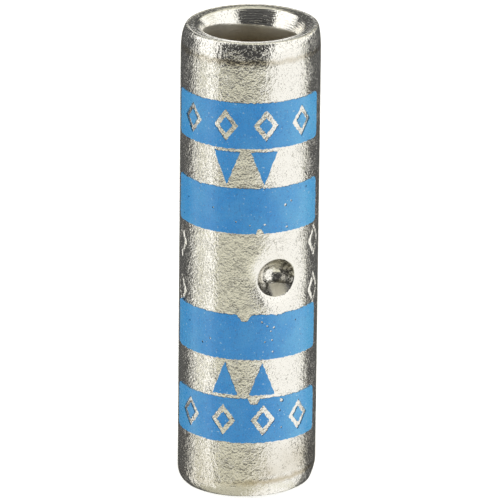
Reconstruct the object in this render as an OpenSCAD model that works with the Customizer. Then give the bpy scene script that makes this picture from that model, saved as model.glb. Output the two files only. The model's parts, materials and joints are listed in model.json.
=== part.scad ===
// Compression butt splice: a seamless tinned copper tube with a punched wire stop and printed crimp guides.
// It stands on one end. The origin is the centre of that end, +Z runs up the barrel, and the print faces -Y.

/* [Barrel] */
// Length from end to end
barrel_len = 25.4; // [21:0.1:60]
// Bore that takes the conductor
bore_d = 5; // [3.5:0.05:9]
// Thickness of the tube's wall
wall = 1.2; // [1:0.05:2]

/* [Ends] */
// Width of the lead-in cone in each mouth, along the radius
lead_in_w = 0.4; // [0.2:0.05:0.55]
// Depth of the lead-in cone
lead_in_depth = 0.75; // [0.3:0.05:1.5]
// How far the outside is rolled in at each end
roll_w = 0.34; // [0.15:0.01:0.45]
// Length of the rolled-in stretch
roll_len = 0.94; // [0.6:0.01:1.4]

/* [Wire stop] */
// Diameter of the punched dimple
stop_d = 2.1; // [1.4:0.05:2.5]
// Depth of the dimple below the outside
stop_depth = 1.4; // [1.3:0.05:1.8]
// Radius on the dimple's edge
stop_edge_r = 0.28; // [0.1:0.02:0.4]
// Metal left under the dimple, which stands out into the bore
stop_skin = 0.8; // [0.5:0.05:1.1]
// Turn of the dimple from the front, towards +X, in degrees
stop_side = 23.3; // [-180:0.1:180]
// Height of the dimple above mid-length
stop_rise = -0.2; // [-0.5:0.05:0.5]
// How far the bore is drawn in round the stop
waist_draw = 0.05; // [0.02:0.01:0.15]

/* [Printed bands] */
// Thickness of the ink
ink = 0.04; // [0.02:0.01:0.1]
// Width of the print, measured round the barrel
print_w = 9.3; // [6:0.1:12]
// Turn of the print's middle from the front, towards +X, in degrees
print_side = -3.3; // [-180:0.1:180]
// Height of each band
band_h = 2.5; // [2:0.05:2.9]
// Length taken off each edge by a band's round corner
band_corner = 0.25; // [0.1:0.05:0.6]
// Bare length between the two inner bands
centre_gap = 4.54; // [3.6:0.02:5.2]
// Bare length between an inner band and its end band
guide_gap = 2.2; // [1.9:0.05:2.5]

/* [Printed marks] */
// Width of the diamonds left open in an end band
diamond_w = 1.35; // [0.8:0.05:1.8]
// Height of the diamonds
diamond_h = 1.75; // [1:0.05:2]
// Width of a diamond's line
diamond_line = 0.26; // [0.14:0.02:0.3]
// Distance between diamonds round the barrel
diamond_pitch = 2.15; // [1.9:0.05:2.4]
// Width of the arrowheads between the bands
arrow_w = 1.4; // [0.8:0.05:1.9]
// Height of the arrowheads
arrow_h = 1.8; // [1:0.05:1.85]
// Distance between the arrowheads of a pair
arrow_pitch = 2; // [1.95:0.05:3]

/* [Hidden] */
$fn = 96;
TIN = [0.76, 0.75, 0.70];
INK = [0.31, 0.56, 0.76];
DIAMONDS = 4;
bore_r = bore_d / 2;
barrel_r = bore_r + wall;
mid_z = barrel_len / 2;
// The end's arc leaves the outside at a tangent and reaches the end face roll_w further in
roll_r = (roll_len * roll_len + roll_w * roll_w) / (2 * roll_w);
// The punch has a ball nose, and the ball of metal under it has the same centre
nose_r = stop_d / 2;
nose_depth = stop_depth - nose_r;
ball_r = nose_r + stop_skin;
waist_half = ball_r + abs(stop_rise);
waist_r = (waist_half * waist_half + waist_draw * waist_draw) / (2 * waist_draw);
// A corner's arc runs from edge to edge of a band, and leaves both at a slight angle
corner_in = 1.15 * band_corner;
corner_arc_r = norm([corner_in, corner_in - band_corner]);
inner_band_z = centre_gap / 2;
guide_z = inner_band_z + band_h;
end_band_z = guide_z + guide_gap;

// Degrees round the outside for a distance measured along it
function turn(distance) = distance / barrel_r * 180 / PI;

// Puts children at a turn from the front and a height, with local +X pointing out of the barrel
module on_side(side, height) {
    rotate([0, 0, side - 90])
        translate([0, 0, height])
            children();
}

// Extrudes a flat shape through the wall: its x runs round the barrel and its y up it
module through_wall(side, height) {
    on_side(side, height)
        translate([bore_r, 0, 0])
            rotate([90, 0, 90])
                linear_extrude(2 * wall)
                    children();
}

// Metal taken off one end of the tube's section
module end_cuts() {
    polygon([
        [bore_r - lead_in_w, 2 * lead_in_depth],
        [bore_r + 2 * lead_in_w, -lead_in_depth],
        [bore_r - lead_in_w, -lead_in_depth]
    ]);
    difference() {
        translate([barrel_r - 2 * roll_w, -roll_len])
            square([3 * roll_w, 2 * roll_len]);
        translate([barrel_r - roll_r, roll_len])
            circle(roll_r);
    }
}

// Long shallow bulge that narrows the bore at mid-length
module waist() {
    intersection() {
        translate([bore_r - waist_draw, mid_z - waist_half])
            square([waist_draw + wall / 2, 2 * waist_half]);
        translate([bore_r - waist_draw + waist_r, mid_z])
            circle(waist_r);
    }
}

module tube() {
    rotate_extrude() {
        difference() {
            translate([bore_r, 0])
                square([wall, barrel_len]);
            end_cuts();
            translate([0, barrel_len])
                mirror([0, 1])
                    end_cuts();
        }
        waist();
    }
}

// Section of the punch, with its axis on x = 0 and the barrel's outside at y = 0
module punch_section() {
    translate([0, -nose_depth])
        square([nose_r, nose_depth + wall]);
    intersection() {
        translate([0, -stop_depth])
            square([nose_r, stop_depth]);
        translate([0, -nose_depth])
            circle(nose_r);
    }
    difference() {
        translate([0, -stop_edge_r])
            square([nose_r + stop_edge_r, stop_edge_r + wall]);
        translate([nose_r + stop_edge_r, -stop_edge_r])
            circle(stop_edge_r);
    }
}

module punch() {
    on_side(stop_side, mid_z + stop_rise)
        translate([barrel_r, 0, 0])
            rotate([0, 90, 0])
                rotate_extrude()
                    punch_section();
}

// Metal that the punch drives into the bore, which stops the conductor
module stop_ball() {
    intersection() {
        on_side(stop_side, mid_z + stop_rise)
            translate([barrel_r - nose_depth, 0, 0])
                sphere(ball_r);
        cylinder(h = barrel_len, r = bore_r + wall / 2);
    }
}

module barrel() {
    color(TIN)
        difference() {
            union() {
                tube();
                stop_ball();
            }
            punch();
        }
}

// What is cut from a corner of a band to round it
module corner_cut(side, end) {
    mirror([side < 0 ? 1 : 0, 0])
        mirror([0, end < 0 ? 1 : 0])
            difference() {
                translate([-corner_in, -corner_in])
                    square(2 * corner_in);
                translate([-corner_in, -corner_in])
                    circle(corner_arc_r);
            }
}

// Band of ink whose lower edge is at a height above mid-length
module band(low) {
    arc = turn(print_w);
    color(INK)
        difference() {
            on_side(print_side - arc / 2, mid_z + low)
                rotate_extrude(angle = arc)
                    translate([barrel_r, 0])
                        square([ink, band_h]);
            for (side = [-1, 1], end = [-1, 1])
                through_wall(print_side + side * arc / 2, mid_z + low + (1 + end) / 2 * band_h)
                    corner_cut(side, end);
        }
}

module diamond(width, height) {
    polygon([[-width / 2, 0], [0, -height / 2], [width / 2, 0], [0, height / 2]]);
}

// Diamond's outline, with a line of the same width on all four sides
module diamond_outline() {
    inner = 1 - 2 * diamond_line * sqrt(1 / pow(diamond_w, 2) + 1 / pow(diamond_h, 2));
    difference() {
        diamond(diamond_w, diamond_h);
        diamond(inner * diamond_w, inner * diamond_h);
    }
}

module end_band(low) {
    color(INK)
        difference() {
            band(low);
            for (i = [0 : DIAMONDS - 1])
                through_wall(
                    print_side + turn((i - (DIAMONDS - 1) / 2) * diamond_pitch),
                    mid_z + low + band_h / 2
                )
                    diamond_outline();
        }
}

// Pair of arrowheads between two bands, which point to the wire stop
module arrows(low) {
    towards = low < 0 ? 1 : -1;
    color(INK)
        intersection() {
            translate([0, 0, mid_z + low])
                rotate_extrude()
                    translate([barrel_r, 0])
                        square([ink, guide_gap]);
            union() {
                for (side = [-1, 1])
                    through_wall(print_side + turn(side * arrow_pitch / 2), mid_z + low + guide_gap / 2)
                        polygon([
                            [-arrow_w / 2, -towards * arrow_h / 2],
                            [arrow_w / 2, -towards * arrow_h / 2],
                            [0, towards * arrow_h / 2]
                        ]);
            }
        }
}

module upper_end_band() {
    end_band(end_band_z);
}

module upper_inner_band() {
    band(inner_band_z);
}

module lower_inner_band() {
    band(-inner_band_z - band_h);
}

module lower_end_band() {
    end_band(-end_band_z - band_h);
}

module upper_arrows() {
    arrows(guide_z);
}

module lower_arrows() {
    arrows(-guide_z - guide_gap);
}

barrel();
upper_end_band();
upper_inner_band();
lower_inner_band();
lower_end_band();
upper_arrows();
lower_arrows();
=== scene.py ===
"""Looks of a tinned copper butt splice: the punched tube, the printed guides and the studio."""
from __future__ import annotations

import json
import logging
import math
import random
from collections.abc import Callable, Iterable, Mapping
from dataclasses import dataclass, field
from enum import Enum

import bpy
import numpy as np
from mathutils import Matrix, Vector


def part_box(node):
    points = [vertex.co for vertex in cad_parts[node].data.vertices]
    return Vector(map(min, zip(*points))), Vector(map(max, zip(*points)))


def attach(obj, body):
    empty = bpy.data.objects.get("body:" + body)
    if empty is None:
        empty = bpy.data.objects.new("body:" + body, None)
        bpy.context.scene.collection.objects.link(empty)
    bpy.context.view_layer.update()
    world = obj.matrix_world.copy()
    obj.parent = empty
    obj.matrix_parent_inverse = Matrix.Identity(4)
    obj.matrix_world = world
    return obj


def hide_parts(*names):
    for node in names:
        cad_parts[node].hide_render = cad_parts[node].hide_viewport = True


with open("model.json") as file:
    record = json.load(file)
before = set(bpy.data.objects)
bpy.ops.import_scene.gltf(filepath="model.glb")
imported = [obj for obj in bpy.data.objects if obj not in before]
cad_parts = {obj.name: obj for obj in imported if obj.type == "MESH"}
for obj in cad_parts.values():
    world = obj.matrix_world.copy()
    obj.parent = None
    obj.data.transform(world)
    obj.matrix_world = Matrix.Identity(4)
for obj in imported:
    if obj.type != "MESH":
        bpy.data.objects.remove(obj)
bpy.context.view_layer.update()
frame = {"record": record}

LOG = logging.getLogger("splice")
MM = 0.001
MICRON = 1e-6
TINY = 1e-9
DEGREES = math.degrees(1.0)

Colour = tuple[float, float, float, float]
Span = tuple[float, float]

# Spans, in degrees, that every direction is past: a patch of light has no border there.
BACK_MIDDLE: Span = (-2.0, -1.0)
NADIR: Span = (-92.0, -91.0)


class Way(Enum):
    """Which way an arrowhead points along the barrel."""

    UP = 1.0
    DOWN = -1.0


class Edge(Enum):
    """Long edge of a printed band."""

    TOP = 1.0
    BOTTOM = -1.0


class Mark(Enum):
    """Small closed shape in the print, with the number of its corners."""

    ARROWHEAD = 3
    DIAMOND = 4
    FLECK = 9


class Signal:
    """Output of a shader node that takes part in Python arithmetic."""

    def __init__(self, tree: bpy.types.NodeTree, socket: bpy.types.NodeSocket) -> None:
        """Wraps a socket of a tree."""
        self.tree = tree
        self.socket = socket

    def math(self, operation: str, *others: Signal | float) -> Signal:
        """Adds a Math node whose first value is this signal.

        Args:
            operation: Name of the Math node's operation.
            others: The node's other values.

        Returns:
            The node's result.
        """
        node = self.tree.nodes.new("ShaderNodeMath")
        node.operation = operation
        for slot, value in zip(node.inputs, (self, *others)):
            plug(self.tree, slot, value)
        return Signal(self.tree, node.outputs[0])

    def larger(self, other: Signal | float) -> Signal:
        """Larger of two values."""
        return self.math("MAXIMUM", other)

    def __add__(self, other: Signal | float) -> Signal:
        """Sum of two signals."""
        return self.math("ADD", other)

    __radd__ = __add__

    def __mul__(self, other: Signal | float) -> Signal:
        """Product of two signals."""
        return self.math("MULTIPLY", other)

    __rmul__ = __mul__

    def __sub__(self, other: Signal | float) -> Signal:
        """Difference of two signals."""
        return self.math("SUBTRACT", other)

    def __rsub__(self, other: float) -> Signal:
        """Number less this signal."""
        return self * -1.0 + other

    def __abs__(self) -> Signal:
        """Size without the sign."""
        return self.math("ABSOLUTE")


def plug(tree: bpy.types.NodeTree, slot: bpy.types.NodeSocket, value: object) -> None:
    """Links a signal to a socket, or sets the socket's own value.

    Args:
        tree: Tree that holds the socket.
        slot: Socket to feed.
        value: Signal, number, vector or colour.
    """
    if isinstance(value, Signal):
        tree.links.new(value.socket, slot)
    else:
        slot.default_value = value


class NodeBench:
    """Adds nodes to one shader tree."""

    def __init__(self, tree: bpy.types.NodeTree) -> None:
        """Starts with an empty tree."""
        self.tree = tree
        tree.nodes.clear()

    def node(
        self,
        kind: str,
        output: str | int = 0,
        settings: Mapping[str, object] | None = None,
        sockets: Mapping[str | int, object] | None = None,
    ) -> Signal:
        """Adds a node of any kind.

        Args:
            kind: The node's type, without its ShaderNode prefix.
            output: Name or number of the output that is wanted.
            settings: Properties, which are set first, with a ramp's stops under the name stops.
            sockets: Values and links of the inputs by name or number.

        Returns:
            The wanted output, or the first input of a node that has no output.
        """
        node = self.tree.nodes.new("ShaderNode" + kind)
        for name, value in (settings or {}).items():
            if name == "stops":
                self.set_stops(node.color_ramp, value)
            else:
                setattr(node, name, value)
        for name, value in (sockets or {}).items():
            plug(self.tree, node.inputs[name], value)
        return Signal(self.tree, node.outputs[output] if node.outputs else node.inputs[0])

    @staticmethod
    def set_stops(ramp: bpy.types.ColorRamp, stops: Mapping[float, float]) -> None:
        """Gives a new ramp its grey stops.

        Args:
            ramp: The ramp.
            stops: Level at each position from 0 to 1, in rising order.
        """
        while len(ramp.elements) < len(stops):
            ramp.elements.new(1.0)
        for element, (position, level) in zip(ramp.elements, stops.items()):
            element.position = position
            element.color = (level, level, level, 1.0)

    def ramp(self, value: Signal, levels: Mapping[float, float]) -> Signal:
        """Follows a line through levels that are given at places of a value.

        Args:
            value: The value.
            levels: Level at each place, in rising order.

        Returns:
            The level at the value.
        """
        first = min(levels)
        share = 1.0 / (max(levels) - first)
        stops = {(place - first) * share: level for place, level in levels.items()}
        return self.node("ValToRGB", settings={"stops": stops}, sockets={0: (value - first) * share})

    def step(self, value: Signal, low: float | Signal, high: float | Signal) -> Signal:
        """Rises smoothly from 0 to 1.

        Args:
            value: Value to follow.
            low: Where the rise starts. It may be the larger one.
            high: Where the rise ends.

        Returns:
            The smooth step.
        """
        return self.node(
            "MapRange",
            settings={"interpolation_type": "SMOOTHSTEP"},
            sockets={"Value": value, "From Min": low, "From Max": high},
        )

    def fall(self, value: Signal, low: float | Signal, high: float | Signal) -> Signal:
        """Falls smoothly from 1 to 0 while a value goes from low to high."""
        return 1.0 - self.step(value, low, high)

    def noise(self, where: Signal, size: float, detail: float = 2.0, twist: float = 0.0) -> Signal:
        """Cloudy noise whose features measure about size.

        Args:
            where: Coordinates.
            size: Size of a feature, in the coordinates' unit.
            detail: Finer layers on top.
            twist: Distortion.

        Returns:
            Noise from 0 to 1, with 0.5 in the middle.
        """
        return self.node(
            "TexNoise",
            output="Fac",
            sockets={"Vector": where, "Scale": 1.0 / size, "Detail": detail, "Distortion": twist},
        )

    def spots(self, where: Signal, size: float, cut: Span, detail: float = 0.0) -> Signal:
        """Spots where a noise is high.

        Args:
            where: Coordinates.
            size: Size of the noise's features.
            cut: Noise at which a spot starts, and at which it is full.
            detail: Finer layers of the noise.

        Returns:
            1 in the spots and 0 between them.
        """
        return self.step(self.noise(where, size, detail=detail), *cut)

    def stretched(self, where: Signal, x: float, y: float, z: float) -> Signal:
        """Coordinates multiplied along each axis."""
        return self.node("Mapping", sockets={"Vector": where, "Scale": (x, y, z)})

    def vector(self, operation: str, first: Signal, second: Vector, output: str = "Value") -> Signal:
        """Result of a Vector Math node."""
        return self.node(
            "VectorMath", output=output, settings={"operation": operation}, sockets={0: first, 1: second}
        )

    def blend(self, factor: Signal, below: Signal | Colour, above: Signal | Colour) -> Signal:
        """Mixes two colours.

        Args:
            factor: Share of the second colour.
            below: First colour.
            above: Second colour.

        Returns:
            The mixed colour.
        """
        return self.node(
            "Mix", output=2, settings={"data_type": "RGBA"}, sockets={0: factor, 6: below, 7: above}
        )

    def bump(self, relief: Signal) -> Signal:
        """Normal of a surface with relief, which is a height in metres."""
        return self.node("Bump", sockets={"Strength": 1.0, "Distance": 1.0, "Height": relief})

    def surface(self, sockets: Mapping[str | int, object]) -> None:
        """Ends a material with its surface shader, given that shader's inputs."""
        shader = self.node("BsdfPrincipled", sockets=sockets)
        self.node("OutputMaterial", sockets={"Surface": shader})


def new_material(name: str) -> tuple[bpy.types.Material, NodeBench]:
    """Starts a material.

    Args:
        name: The material's name.

    Returns:
        The material, and a bench for its nodes.
    """
    material = bpy.data.materials.new(name)
    material.use_nodes = True
    return material, NodeBench(material.node_tree)


@dataclass(frozen=True)
class BarrelPlan:
    """What the tin follows on the barrel: its radii and lengths, and the place and direction of the punch."""

    bore: float
    mouth: float
    length: float
    lead_in: float
    punched: Vector
    inwards: Vector
    mouth_blend: float = 0.1 * MM
    bore_blend: Span = (0.005 * MM, 0.03 * MM)
    dimple_edge: Span = (1.15 * MM, 1.18 * MM)
    dimple_end: Span = (1.5 * MM, 1.7 * MM)


@dataclass(frozen=True)
class Zones:
    """Signals that say where on the barrel a point lies.

    The places above, beside and off_axis, and the distance away, are measured from the mouth of the dimple.
    """

    here: Signal
    across: Signal
    height: Signal
    radius: Signal
    from_middle: Signal
    away: Signal
    above: Signal
    beside: Signal
    off_axis: Signal
    outside: Signal
    in_bore: Signal

    @classmethod
    def measure(cls, bench: NodeBench, plan: BarrelPlan) -> Zones:
        """Measures all places.

        Args:
            bench: Bench of the material.
            plan: The barrel.

        Returns:
            The signals.
        """
        here = bench.node("TexCoord", output="Object")
        height = bench.node("SeparateXYZ", output="Z", sockets={"Vector": here})
        radius = bench.vector("LENGTH", bench.stretched(here, 1.0, 1.0, 0.0), Vector())
        away = bench.vector("DISTANCE", here, plan.punched)
        apart = bench.vector("SUBTRACT", here, plan.punched, output="Vector")
        sunk = bench.vector("DOT_PRODUCT", apart, plan.inwards)
        round_it = Vector((plan.inwards.y, -plan.inwards.x, 0.0))
        off_axis = (away * away - sunk * sunk).larger(0.0).math("SQRT")
        undented = bench.step(away, *plan.dimple_edge)
        within_mouth = bench.fall(radius, plan.mouth, plan.mouth + plan.mouth_blend)
        within_bore = bench.fall(radius, *(plan.bore + blend for blend in plan.bore_blend))
        return cls(
            here=here,
            across=bench.node("SeparateXYZ", output="X", sockets={"Vector": here}),
            height=height,
            radius=radius,
            from_middle=abs(height - plan.length / 2),
            away=away,
            above=height - plan.punched.z,
            beside=bench.vector("DOT_PRODUCT", apart, round_it),
            off_axis=off_axis + bench.step(away, *plan.dimple_end) * MM,
            outside=1.0 - within_mouth * undented,
            in_bore=within_bore * undented,
        )


@dataclass(frozen=True)
class Clouds:
    """Noises that several layers of the tin share."""

    grain: Signal
    dents: Signal
    patches: Signal
    creases: Signal


@dataclass(frozen=True)
class Layer:
    """Layer of relief: the size of its features and their depth."""

    size: float
    depth: float


@dataclass(frozen=True)
class TumbledGrain:
    """Relief and wear of tumbled tin, which is brushed in the mouths and burnished round the punch."""

    grain: Layer = Layer(0.10 * MM, 12 * MICRON)
    dent: Layer = Layer(0.36 * MM, 17 * MICRON)
    ripple: Layer = Layer(0.45 * MM, 7 * MICRON)
    curl: Layer = Layer(0.26 * MM, 10 * MICRON)
    spark: Layer = Layer(0.09 * MM, 6 * MICRON)
    crease: Layer = Layer(0.50 * MM, 10 * MICRON)
    brush: Layer = Layer(0.06 * MM, 20 * MICRON)
    patch: float = 1.6 * MM
    crease_gap: float = 0.7 * MM
    pit: float = 0.05 * MM
    speck: float = 0.10 * MM
    dent_squeeze: float = 0.8
    flow_squeeze: float = 2.6
    curl_squeeze: tuple[float, float, float] = (1.5, 1.5, 0.8)
    brush_squeeze: tuple[float, float, float] = (0.06, 0.06, 1.0)
    crease_line: float = 0.07
    crease_cut: Span = (0.54, 0.60)
    ripple_cut: Span = (0.35, 0.65)
    spark_cut: Span = (0.60, 0.70)
    pit_cut: Span = (0.70, 0.78)
    speck_cut: Span = (0.60, 0.66)
    speck_patch: Span = (0.50, 0.62)
    burnish: Span = (1.1 * MM, 1.6 * MM)
    rim_drop: Span = (0.22 * MM, 0.12 * MM)
    rim_width: Span = (0.34 * MM, 0.44 * MM)
    coarse_side: Span = (-1.2 * MM, -1.9 * MM)
    calm_height: Span = (2.8 * MM, 5.0 * MM)
    calm_place: float = -0.5 * MM
    calm_width: Span = (0.7 * MM, 1.5 * MM)
    calm_loss: float = 0.35
    coarse_gain: float = 1.1
    ripple_least: float = 0.3
    ripple_gain: float = 0.7
    punch_least: float = 0.5
    punch_gain: float = 0.5
    rim_loss: float = 0.7
    bore_loss: float = 0.7
    mouth_grain: float = 0.7
    crease_wear: float = 0.15
    pit_wear: float = 0.6
    speck_wear: float = 0.6
    mouth_wear: float = 0.8

    def clouds(self, bench: NodeBench, here: Signal) -> Clouds:
        """Makes the noises that several layers share.

        Args:
            bench: Bench of the material.
            here: Place on the barrel.

        Returns:
            The noises.
        """
        upright = bench.stretched(here, 1.0, 1.0, self.dent_squeeze)
        flowing = bench.stretched(here, 1.0, 1.0, self.flow_squeeze)
        waves = bench.noise(flowing, self.crease.size, detail=1.0, twist=1.0)
        creases = bench.fall(abs(waves - 0.5), 0.0, self.crease_line)
        return Clouds(
            grain=bench.noise(here, self.grain.size, detail=1.0),
            dents=bench.noise(upright, self.dent.size, detail=1.0, twist=0.6),
            patches=bench.noise(here, self.patch),
            creases=creases * bench.spots(here, self.crease_gap, self.crease_cut, detail=1.0),
        )

    def unburnished(self, bench: NodeBench, zones: Zones) -> Signal:
        """Share of the grain that the punch has left, which is least in the dimple."""
        return bench.step(zones.away, *self.burnish) * self.punch_gain + self.punch_least

    def tumbled(self, bench: NodeBench, zones: Zones, clouds: Clouds) -> Signal:
        """Adds up the relief that tumbling gives.

        Args:
            bench: Bench of the material.
            zones: Where a point lies.
            clouds: The shared noises.

        Returns:
            Height of the surface, in metres.
        """
        flowing = bench.stretched(zones.here, 1.0, 1.0, self.flow_squeeze)
        ripples = bench.noise(flowing, self.ripple.size, twist=1.2)
        rippled = bench.step(clouds.patches, *self.ripple_cut) * self.ripple_gain + self.ripple_least
        curled = bench.stretched(zones.here, *self.curl_squeeze)
        curls = bench.noise(curled, self.curl.size, detail=1.0, twist=1.2)
        curls = curls * (bench.step(zones.across, *self.coarse_side) * self.coarse_gain + 1.0)
        sparks = bench.spots(zones.here, self.spark.size, self.spark_cut)
        relief = clouds.grain * self.grain.depth + clouds.dents * self.dent.depth
        relief = relief + ripples * rippled * self.ripple.depth + curls * self.curl.depth
        relief = relief + sparks * self.spark.depth - clouds.creases * self.crease.depth
        calm = bench.fall(zones.from_middle, *self.calm_height)
        calm = calm * bench.fall(abs(zones.across - self.calm_place), *self.calm_width)
        return relief * (1.0 - calm * self.calm_loss)

    def relief(self, bench: NodeBench, plan: BarrelPlan, zones: Zones, clouds: Clouds) -> Signal:
        """Puts the tumbled outside and the brushed inside together.

        Args:
            bench: Bench of the material.
            plan: The barrel.
            zones: Where a point lies.
            clouds: The shared noises.

        Returns:
            Height of the surface, in metres.
        """
        on_rim = bench.step(zones.from_middle, *(plan.length / 2 - drop for drop in self.rim_drop))
        on_rim = on_rim * bench.fall(zones.radius, *(plan.mouth + width for width in self.rim_width))
        kept = zones.outside * self.unburnished(bench, zones) * (1.0 - on_rim * self.rim_loss)
        brushed = bench.noise(bench.stretched(zones.here, *self.brush_squeeze), self.brush.size)
        scraped = brushed * (1.0 - zones.in_bore * self.bore_loss) * self.brush.depth
        scraped = scraped + clouds.grain * (self.mouth_grain * self.grain.depth)
        return self.tumbled(bench, zones, clouds) * kept + scraped * (1.0 - zones.outside)

    def wear(self, bench: NodeBench, zones: Zones, clouds: Clouds) -> Signal:
        """Finds where the tin is worn dark, in creases, pits and specks.

        Args:
            bench: Bench of the material.
            zones: Where a point lies.
            clouds: The shared noises.

        Returns:
            Share of the dark colour.
        """
        pits = bench.spots(zones.here, self.pit, self.pit_cut)
        specks = bench.spots(zones.here, self.speck, self.speck_cut, detail=1.0)
        specks = specks * bench.step(clouds.patches, *self.speck_patch)
        in_mouth = (1.0 - zones.outside) * (1.0 - zones.in_bore)
        shown = zones.outside * self.unburnished(bench, zones) + in_mouth * self.mouth_wear
        marks = clouds.creases * self.crease_wear + pits * self.pit_wear + specks * self.speck_wear
        return marks * shown


@dataclass(frozen=True)
class CreaseShadeAndDirt:
    """Painted brown shade lines along the creases where the rolled ends meet the wall, with dirt and soil
    above the lower one.
    """

    # Brown of the painted crease shade lines, and of the dirt and the soil.
    colour: Colour = (0.50, 0.42, 0.28, 1.0)
    sway: float = 0.3 * MM
    line_height: float = 0.91 * MM
    line_slope: float = 0.06
    line_width: float = 0.28 * MM
    line_side: Span = (-2.0 * MM, 0.5 * MM)
    collar_drop: float = 1.05 * MM
    collar_width: float = 0.26 * MM
    dirt_start: Span = (0.1 * MM, 0.4 * MM)
    dirt_end: Span = (0.8 * MM, 2.6 * MM)
    dirt_side: Span = (0.4 * MM, 1.4 * MM)
    soil_end: Span = (1.0 * MM, 4.5 * MM)
    soil_side: Span = (0.6 * MM, 1.6 * MM)
    line_least: float = 0.2
    line_gain: float = 0.65
    line_patch: float = 0.3
    collar_patch: float = 0.25
    collar_share: float = 0.7
    dirt_share: float = 0.65
    soil_least: float = 0.05
    soil_gain: float = 0.3

    def line(self, bench: NodeBench, above: Signal, width: float, clouds: Clouds, least: float) -> Signal:
        """Draws a line that sways with the dents and is stronger in patches.

        Args:
            bench: Bench of the material.
            above: Height above the line.
            width: How far the line reaches to each side.
            clouds: The shared noises.
            least: Strength that the patches add to.

        Returns:
            Strength of the line.
        """
        off_line = abs(above + (clouds.dents - 0.5) * self.sway)
        return bench.fall(off_line, 0.0, width) * (clouds.patches + least)

    def lay(self, bench: NodeBench, plan: BarrelPlan, zones: Zones, clouds: Clouds, skin: Signal) -> Signal:
        """Lays the painted crease shade, the dirt and the soil over a colour.

        Args:
            bench: Bench of the material.
            plan: The barrel.
            zones: Where a point lies.
            clouds: The shared noises.
            skin: Colour below.

        Returns:
            The stained colour.
        """
        # Painted shade: a brown line along the crease where the lower roll meets the wall, stronger towards
        # the right.
        above_line = zones.height - zones.across * self.line_slope - self.line_height
        low_line = self.line(bench, above_line, self.line_width, clouds, self.line_patch)
        low_line = low_line * (bench.step(zones.across, *self.line_side) * self.line_gain + self.line_least)
        # Painted shade: a brown line along the crease where the upper roll meets the wall.
        above_collar = zones.height - (plan.length - self.collar_drop)
        collar = self.line(bench, above_collar, self.collar_width, clouds, self.collar_patch)
        collar = collar * self.collar_share
        dirt = bench.step(above_line, *self.dirt_start) * bench.fall(above_line, *self.dirt_end)
        dirt = dirt * bench.step(zones.across, *self.dirt_side) * clouds.patches * self.dirt_share
        soil = bench.fall(zones.height, *self.soil_end) * bench.fall(zones.across, *self.soil_side)
        soil = soil * (clouds.patches * self.soil_gain + self.soil_least)
        for darkening in (low_line, collar, dirt, soil):
            skin = bench.blend(darkening * zones.outside, skin, self.colour)
        return skin


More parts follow.
